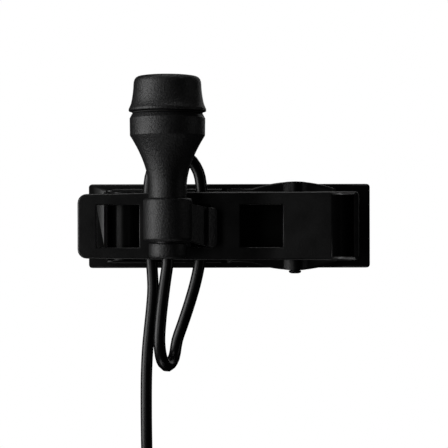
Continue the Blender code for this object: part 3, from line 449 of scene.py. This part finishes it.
def block(low, high):
    """A box between two corners."""
    bm = bmesh.new()
    bmesh.ops.create_cube(bm, size=1.0)
    low, high = Vector(low), Vector(high)
    bmesh.ops.scale(bm, vec=high - low, verts=bm.verts)
    bmesh.ops.translate(bm, vec=(low + high) / 2, verts=bm.verts)
    return bm


def cylinder(radius, start, end, segments):
    """A closed round bar from one point to another."""
    start, end = Vector(start), Vector(end)
    turn = (end - start).to_track_quat("Z", "Y").to_matrix().to_4x4()
    bm = bmesh.new()
    bmesh.ops.create_cone(bm, cap_ends=True, segments=segments, radius1=radius, radius2=radius,
                          depth=(end - start).length, matrix=Matrix.Translation((start + end) / 2) @ turn)
    return bm


def arc(centre, radius, start, end):
    """Points round a centre from one angle to another, in degrees."""
    found = []
    for i in range(ARC_STEPS + 1):
        angle = radians(start + (end - start) * i / ARC_STEPS)
        found.append((centre[0] + radius * cos(angle), centre[1] + radius * sin(angle)))
    return found


def mm(points):
    """Points in millimetres as points in metres."""
    return [(a * MM, b * MM) for a, b in points]


def loose(name, bm):
    """A bmesh as an object in the scene."""
    mesh = bpy.data.meshes.new(name)
    bm.to_mesh(mesh)
    bm.free()
    made = bpy.data.objects.new(name, mesh)
    bpy.context.scene.collection.objects.link(made)
    return made


def applied(obj):
    """The object with its modifiers made part of its mesh."""
    bpy.context.view_layer.update()
    graph = bpy.context.evaluated_depsgraph_get()
    mesh = bpy.data.meshes.new_from_object(obj.evaluated_get(graph))
    obj.modifiers.clear()
    old, obj.data = obj.data, mesh
    bpy.data.meshes.remove(old)
    return obj


def combined(base, steps):
    """A bmesh with others joined to it, cut from it or kept in common with it, in order."""
    target = loose("base", base)
    for operation, bm in steps:
        other = loose("tool", bm)
        boolean = target.modifiers.new("step", "BOOLEAN")
        boolean.operation = operation
        boolean.object = other
        boolean.solver = "EXACT"
        applied(target)
        bpy.data.objects.remove(other, do_unlink=True)
    bm = bmesh.new()
    bm.from_mesh(target.data)
    bpy.data.objects.remove(target, do_unlink=True)
    bmesh.ops.remove_doubles(bm, verts=bm.verts, dist=SAME_POINT)
    bmesh.ops.dissolve_limit(bm, angle_limit=radians(0.5), verts=bm.verts, edges=bm.edges)
    return bm


def piece(name, bm, finish, body, replaced=(), edge=0.0, sharp=32):
    """A finished piece: its mesh, material, shading and body, and the nodes it stands for."""
    made = loose(name, bm)
    made.data.materials.append(finish)
    if edge:
        bevel = made.modifiers.new("edge", "BEVEL")
        bevel.width = edge
        bevel.segments = 3
        bevel.limit_method = "ANGLE"
        bevel.angle_limit = radians(35)
        bevel.harden_normals = False
        applied(made)
    made.data.polygons.foreach_set("use_smooth", [True] * len(made.data.polygons))
    made.data.set_sharp_from_angle(angle=radians(sharp))
    if body:
        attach(made, body)
    if replaced:
        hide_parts(*replaced)
    return made


def round_wire(name, points, radius):
    """A curve object of round section through the points."""
    curve = bpy.data.curves.new(name, "CURVE")
    curve.dimensions = "3D"
    curve.bevel_depth = radius
    curve.bevel_resolution = 3
    curve.use_fill_caps = True
    spline = curve.splines.new("POLY")
    spline.points.add(len(points) - 1)
    for point, place in zip(spline.points, points):
        point.co = (*place, 1)
    spline.use_smooth = True
    made = bpy.data.objects.new(name, curve)
    bpy.context.scene.collection.objects.link(made)
    return made


# ---------------------------------------------------------------- lead


def smooth_route(points, step):
    """Points about a step apart along a Catmull-Rom curve through the given ones."""
    ends = [2 * points[0] - points[1]] + points + [2 * points[-1] - points[-2]]
    found = [points[0]]
    for i in range(1, len(ends) - 2):
        a, b, c, d = ends[i - 1 : i + 3]
        count = max(1, round((c - b).length / step))
        for k in range(1, count + 1):
            t = k / count
            found.append(0.5 * ((2 * b) + (c - a) * t + (2 * a - 5 * b + 4 * c - d) * t * t
                                + (3 * b - a - 3 * c + d) * t ** 3))
    return found


def coil_places():
    """Where each of the 30 turns lies in the bundle, as (radial offset, Y offset), in rows from the back."""
    rows = [(3, [0.5, -0.5]), (2, [-2, -1, 0, 1, 2]), (1, [2.5, 1.5, 0.5, -0.5, -1.5, -2.5]),
            (0, [-2, -1, 0, 1, 2]), (-1, [2.5, 1.5, 0.5, -0.5, -1.5, -2.5]), (-2, [-2, -1, 0, 1, 2]),
            (-3, [0.5])]
    return [(place * LEAD_DIAMETER, row * LEAD_DIAMETER * COIL_ROW_PITCH) for row, places in rows
            for place in places]


def coil_point(share, out, back):
    """A point on a turn, a share of the way round from its left, moved out and back within the bundle."""
    angle = pi + 2 * pi * share
    radius = COIL_MIDDLE_RADIUS + out
    return COIL_CENTRE + Vector((radius * cos(angle), back, radius * sin(angle)))


def coil_line():
    """The coil's centreline: one turn in each place of the bundle, crossing to the next in its last part."""
    places = coil_places()
    found = []
    for turn, (out, back) in enumerate(places):
        following = places[min(turn + 1, len(places) - 1)]
        for k in range(COIL_POINTS):
            share = k / COIL_POINTS
            moved = max(0.0, (share - CROSSING_START) / (1 - CROSSING_START))
            moved = moved * moved * (3 - 2 * moved)
            found.append(coil_point(share, out + (following[0] - out) * moved,
                                    back + (following[1] - back) * moved))
    return found + [coil_point(k / COIL_POINTS, *places[-1]) for k in range(LAST_ARC_POINTS)]


def make_lead():
    """The whole lead as one curve: down from the tail, looped behind the jaw, coiled, and into the plug."""
    first = smooth_route([Vector(p) * MM for p in LEAD_ROUTE], ROUTE_STEP)
    last = smooth_route([Vector(p) * MM for p in TAIL_ROUTE], ROUTE_STEP)
    lead = round_wire("lead_cord", first + coil_line() + last, LEAD_DIAMETER / 2)
    lead.data.materials.append(FINISHES["lead_jacket"])
    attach(lead, "clip_front")
    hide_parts("lead", "lead_coil", "lead_to_plug")
    return lead


# ---------------------------------------------------------------- microphone


NECK_RADIUS, BARREL_RADIUS = 1.85, 3.63
FUNNEL_TOP, FUNNEL_BOTTOM, FUNNEL_POWER, FUNNEL_STEPS = 8.75, 3.86, 1.75, 28


def make_body():
    """Body shell: shoulder chamfer, barrel, funnel and neck outside; spigot, chamber and bore inside."""
    funnel = []
    for i in range(FUNNEL_STEPS + 1):
        share = i / FUNNEL_STEPS
        funnel.append((NECK_RADIUS + (BARREL_RADIUS - NECK_RADIUS) * (1 - share) ** FUNNEL_POWER,
                       FUNNEL_TOP - (FUNNEL_TOP - FUNNEL_BOTTOM) * share))
    outer = [(2.95, 12.33), (2.95, 10.83), (3.40, 10.83), (3.45, 10.80), (3.62, 10.46), (3.655, 10.40)]
    outer += funnel + [(1.85, 0.6), (1.85, -1.42), (1.80, -1.47)]
    inner = [(1.35, -1.47), (1.35, 5.57), (2.0, 9.43), (2.5, 9.43), (2.5, 12.33)]
    profile = rounded(mm(outer + inner), 0.06 * MM)
    piece("body_moulding", spun(profile, (MIC_X, MIC_Y)), FINISHES["black_moulding"], "microphone",
          ["body_shell"], sharp=50)
    gasket = [(3.02, 10.86), (3.34, 10.86), (3.42, 10.92), (3.42, 10.98), (3.34, 11.04), (3.02, 11.04)]
    piece("cap_seal", spun(mm(gasket), (MIC_X, MIC_Y)), FINISHES["black_rubber"], "microphone",
          ["cap_gasket"], sharp=60)


GRILLE_LOW, GRILLE_SHEET, GRILLE_RADIUS = 14.16 * MM, 0.18 * MM, 2.29 * MM
HOLE_PITCH, HOLE_RADIUS, HOLED_RADIUS = 0.52 * MM, 0.15 * MM, 1.92 * MM
HOLE_ROW_PITCH = 0.866 * HOLE_PITCH


def make_cap():
    """Windscreen cap: flared lip, waist and domed shoulder, with the perforated grille set in its top."""
    outer = [(2.36, 14.44), (2.72, 14.45), (2.90, 14.42), (3.05, 14.33), (3.17, 14.17), (3.25, 13.95),
             (3.275, 13.7), (3.29, 13.4), (3.33, 12.95), (3.39, 12.5), (3.45, 12.15), (3.52, 11.85),
             (3.60, 11.62), (3.68, 11.44), (3.735, 11.33), (3.75, 11.27), (3.75, 11.12), (3.71, 11.08)]
    inner = [(3.0, 11.08), (3.0, 13.40), (2.05, 13.40), (2.05, 14.15), (2.36, 14.15)]
    profile = rounded(mm(outer + inner), 0.05 * MM)
    piece("cap_moulding", spun(profile, (MIC_X, MIC_Y)), FINISHES["black_moulding"], "cap",
          ["windscreen_cap"], sharp=50)

    disc = cylinder(GRILLE_RADIUS, (MIC_X, MIC_Y, GRILLE_LOW), (MIC_X, MIC_Y, GRILLE_LOW + GRILLE_SHEET), 72)
    holes = bmesh.new()
    for row in range(-4, 5):
        for column in range(-5, 6):
            x = HOLE_PITCH * (column + 0.5 * (row % 2))
            y = HOLE_ROW_PITCH * row
            if x * x + y * y > HOLED_RADIUS * HOLED_RADIUS:
                continue
            place = Matrix.Translation((MIC_X + x, MIC_Y + y, GRILLE_LOW + GRILLE_SHEET / 2))
            bmesh.ops.create_cone(holes, cap_ends=True, segments=14, radius1=HOLE_RADIUS, radius2=HOLE_RADIUS,
                                  depth=0.6 * MM, matrix=place)
    piece("grille_disc", combined(disc, [("DIFFERENCE", holes)]), FINISHES["black_steel"], "cap",
          ["cap_grille"], edge=0.012 * MM)


def make_tail():
    """Tail bush: a groove below the neck, a barrel with a soft bottom edge and the lead's bore."""
    outer = [(1.29, 0.72), (1.29, -1.63), (1.72, -1.63), (1.80, -1.67), (1.84, -1.75), (1.84, -2.2),
             (1.84, -2.7), (1.81, -2.92), (1.72, -3.06), (1.56, -3.13)]
    inner = [(0.72, -3.13), (0.70, -2.3), (0.65, -2.2), (0.65, 0.72)]
    piece("tail_moulding", spun(mm(outer + inner), (MIC_X, MIC_Y)), FINISHES["black_moulding"], "microphone",
          ["tail_bush"], sharp=50)


# ---------------------------------------------------------------- clip


def eased(bm, edges, width, segments=4):
    """Rounds the chosen edges of a bmesh."""
    bmesh.ops.bevel(bm, geom=edges, offset=width, offset_type="OFFSET", segments=segments, profile=0.5,
                    affect="EDGES", clamp_overlap=False, material=-1)
    bm.normal_update()


def front_edges(bm, wanted):
    """The convex edges between a face that looks forward and a side face, where wanted(middle, normal)."""
    found = []
    for edge in bm.edges:
        if len(edge.link_faces) != 2 or edge.calc_face_angle_signed() < radians(50):
            continue
        front, side = sorted(edge.link_faces, key=lambda face: face.normal.y)
        middle = (edge.verts[0].co + edge.verts[1].co) / 2
        if front.normal.y < -0.7 and wanted(middle / MM, side.normal):
            found.append(edge)
    return found


def flats_of(source):
    """A CAD node's shape as a bmesh, each flat made one face."""
    bm = bmesh.new()
    bm.from_mesh(NODES[source].data)
    bmesh.ops.remove_doubles(bm, verts=bm.verts, dist=2e-6)
    bmesh.ops.dissolve_limit(bm, angle_limit=radians(1), verts=bm.verts, edges=bm.edges)
    bm.normal_update()
    return bm


def moulded(name, source, bm, finish, body):
    """A moulded jaw from its eased shape, with the flats shaded flat and the roundings soft."""
    made = piece(name, bm, finish, body, [source], sharp=40)
    evened = made.modifiers.new("normals", "WEIGHTED_NORMAL")
    evened.keep_sharp = True
    evened.weight = 80
    applied(made)
    return made


OUTLINE_ROUNDING, WINDOW_ROUNDING, RIM_ROUNDING, PAD_ROUNDING = 0.20 * MM, 0.10 * MM, 0.22 * MM, 0.11 * MM


def make_clip():
    """Both jaws, each with the generous roundings its mould gives the side that looks forward.

    The front jaw's outline is rounded more than its windows; of the rear jaw only the outer rims are rounded,
    not the ends of its tooth and hump, which lie between them.
    """
    jaw = flats_of("front_jaw")
    outline = front_edges(jaw, lambda m, side: (abs(m.z) > 3 and side.z * m.z > 0.1 * abs(m.z))
                          or (m.x > 23.2 and side.x > 0.1) or (m.x < -3.4 and side.x < -0.1))
    eased(jaw, outline, OUTLINE_ROUNDING)
    eased(jaw, front_edges(jaw, lambda m, side: True), WINDOW_ROUNDING, 3)
    moulded("front_jaw_moulding", "front_jaw", jaw, CLIP_FINISH, "clip_front")

    jaw = flats_of("rear_jaw")
    rims = front_edges(jaw, lambda m, side: side.z * m.z > 0.9 * abs(m.z) and abs(m.z) > 3.3 and m.y > 1.2)
    eased(jaw, rims, RIM_ROUNDING)
    moulded("rear_jaw_moulding", "rear_jaw", jaw, REAR_FINISH, "rear_jaw")


def plug_block(front, back, low, high):
    """A block as wide as the plug in the jaw's window, in millimetres."""
    return block(Vector((5.28, front, low)) * MM, Vector((7.18, back, high)) * MM)


def make_holder():
    """The holder: a ring round the neck, a web to a pad with a raised lip, and hooks in the jaw's window.

    The foot is what its plan (section) and its front view (face) have in common.
    """
    wall = [(1.90, -1.39)] + arc((2.08, -1.10), 0.29, 270, 360)
    wall += arc((2.08, 2.42), 0.29, 0, 90) + [(1.90, 2.71)]
    ring = spun(mm(wall), (MIC_X, MIC_Y))
    section = [(4.06, -0.94), (9.82, -0.94), (9.82, -2.14), (8.98, -2.14), (8.83, -1.84), (7.19, -3.32),
               (4.06, -3.32)]
    face = arc((9.37, 1.36), 0.45, 0, 90)
    face += [(8.98, 1.81), (7.43, 2.17), (4.06, 2.17), (4.06, -1.19), (6.48, -1.29), (8.98, -2.07)]
    face += arc((9.37, -1.62), 0.45, 270, 360)
    foot = combined(slab(mm(section), -3 * MM, 3 * MM, "Z"),
                    [("INTERSECT", slab(mm(face), -5 * MM, 0, "Y"))])
    bore = cylinder(1.90 * MM, (MIC_X, MIC_Y, -3 * MM), (MIC_X, MIC_Y, 4 * MM), TURNED_STEPS)
    plug_front, plug_back, hook_end, barb_start = -1.14, -0.45, 0.44, 0.04
    inner, outer, barb = 1.60, 2.05, 2.27
    parts = [("UNION", combined(foot, [("DIFFERENCE", bore)])),
             ("UNION", plug_block(plug_front, plug_back, -outer, outer))]
    for side in (-1, 1):
        parts.append(("UNION", plug_block(plug_front, hook_end, *sorted((side * inner, side * outer)))))
        parts.append(("UNION", plug_block(barb_start, hook_end, *sorted((side * inner, side * barb)))))
    holder = combined(ring, parts)
    holder.normal_update()
    eased(holder, front_edges(holder, lambda m, side: m.x > 7.3 and m.y < -1), PAD_ROUNDING, 3)
    piece("holder_moulding", holder, FINISHES["black_moulding"], "clip_front",
          ["mic_holder"])


SPRING_WIRE_RADIUS, SPRING_RADIUS, SPRING_LEG, SPRING_TURNS = 0.18 * MM, 0.95 * MM, 2.6 * MM, 4.6


def make_hinge():
    """The hinge pin with its turned head, and the torsion spring, which winds up as the jaws open."""
    pin = [(0, 4.45), (0.33, 4.45), (0.45, 4.33), (0.45, -4.49), (0.56, -4.49), (0.62, -4.55), (0.62, -4.64),
           (0.56, -4.72), (0.37, -4.79), (0, -4.79)]
    piece("pin_turning", spun(mm(pin), (HINGE_X, HINGE_Y), 48), FINISHES["black_steel"], "rear_jaw",
          ["hinge_pin"], sharp=50)

    low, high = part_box("torsion_spring")
    bottom, top = low.z + SPRING_WIRE_RADIUS, high.z - SPRING_WIRE_RADIUS
    count = round(SPRING_TURNS * 24)
    points = [Vector((HINGE_X + SPRING_LEG, 0.23 * MM, bottom))]
    for k in range(count + 1):
        share = k / count
        angle = radians(-90) + share * SPRING_TURNS * 2 * pi
        points.append(Vector((HINGE_X + SPRING_RADIUS * cos(angle), HINGE_Y + SPRING_RADIUS * sin(angle),
                              bottom + (top - bottom) * share)))
    points.append(Vector((HINGE_X + SPRING_LEG, 3.93 * MM, top)))
    line = round_wire("spring_line", points, SPRING_WIRE_RADIUS)
    bpy.context.view_layer.update()
    mesh = bpy.data.meshes.new_from_object(line.evaluated_get(bpy.context.evaluated_depsgraph_get()))
    bpy.data.objects.remove(line, do_unlink=True)
    bm = bmesh.new()
    bm.from_mesh(mesh)
    bpy.data.meshes.remove(mesh)
    bmesh.ops.remove_doubles(bm, verts=bm.verts, dist=1e-6)
    spring = piece("closing_spring", bm, FINISHES["steel"], None, ["torsion_spring"], sharp=50)
    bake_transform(spring)


# ---------------------------------------------------------------- plug and strap


def on_plug(low, high):
    """A box between corners in millimetres, their X and Y counted from the plug's axis."""
    axis = Vector((PLUG_X, PLUG_Y, 0))
    return block(axis + Vector(low) * MM, axis + Vector(high) * MM)


def make_plug():
    """Boot with six flex ribs, turned shell with nine grip grooves and a slot, and the latch in the slot."""
    axis = (PLUG_X, PLUG_Y)
    boot = [(0.70, -30.0), (1.30, -30.0), (1.45, -30.1), (1.52, -30.4)]
    for k in range(6):
        z = -30.9 - 0.85 * k
        r = 1.62 + 0.22 * k
        boot += [(r, z), (r + 0.02, z - 0.42), (r - 0.22, z - 0.5), (r - 0.2, z - 0.74)]
    boot += [(3.0, -36.0), (3.18, -36.2), (3.18, -36.96), (0.70, -36.96)]
    piece("boot_moulding", spun(rounded(mm(boot), 0.07 * MM), axis, 64), FINISHES["black_rubber"],
          "clip_front", ["plug_boot"], sharp=50)

    shell = [(1.6, -37.0), (4.25, -37.0), (4.6, -37.12), (4.75, -37.5), (4.75, -40.2)]
    for k in range(9):
        z = -40.4 - 0.55 * k
        shell += [(4.75, z), (4.6, z - 0.12), (4.6, z - 0.26), (4.75, z - 0.38)]
    shell += [(4.75, -46.2), (4.68, -46.3), (4.68, -46.7), (4.75, -46.8), (4.75, -58.6), (4.62, -58.9),
              (4.45, -59.0), (4.15, -59.0), (4.15, -37.8), (1.6, -37.8)]
    slot = on_plug((-1.28, -6, -54.48), (1.28, -3, -49.32))
    turned = spun(rounded(mm(shell), 0.05 * MM), axis)
    piece("shell_turning", combined(turned, [("DIFFERENCE", slot)]), FINISHES["black_steel"], "clip_front",
          ["plug_shell"], sharp=40)

    latch = on_plug((-1.2, -5.1, -54.4), (1.2, -4.05, -49.4))
    grooves = []
    for k in range(5):
        z = (-50.6 - 0.65 * k) * MM
        grooves.append(("DIFFERENCE", cylinder(0.22 * MM, (PLUG_X - 3 * MM, PLUG_Y - 5.16 * MM, z),
                                               (PLUG_X + 3 * MM, PLUG_Y - 5.16 * MM, z), 20)))
    piece("latch_button", combined(latch, grooves), FINISHES["black_steel"], "latch",
          ["plug_latch"], edge=0.09 * MM)


def make_strap():
    """A rubber cable tie round the coil: a ribbed band with a rounded edge."""
    centre = (COIL_CENTRE.x - COIL_MIDDLE_RADIUS, COIL_CENTRE.y)
    z = COIL_CENTRE.z / MM
    band = [(4.12, z + 1.5), (4.45, z + 1.5)]
    for k in range(4):
        rib = z + 1.2 - 0.7 * k
        band += [(4.54, rib), (4.54, rib - 0.36), (4.42, rib - 0.46), (4.42, rib - 0.6)]
    band += [(4.54, z - 1.5), (4.12, z - 1.5)]
    piece("strap_band", spun(rounded(mm(band), 0.08 * MM), centre, 72), FINISHES["black_rubber"],
          "clip_front", ["coil_strap"], sharp=50)


finish_frame_nodes()
make_stage()
cord = make_lead()
make_body()
make_cap()
make_tail()
make_clip()
make_holder()
make_hinge()
make_plug()
make_strap()
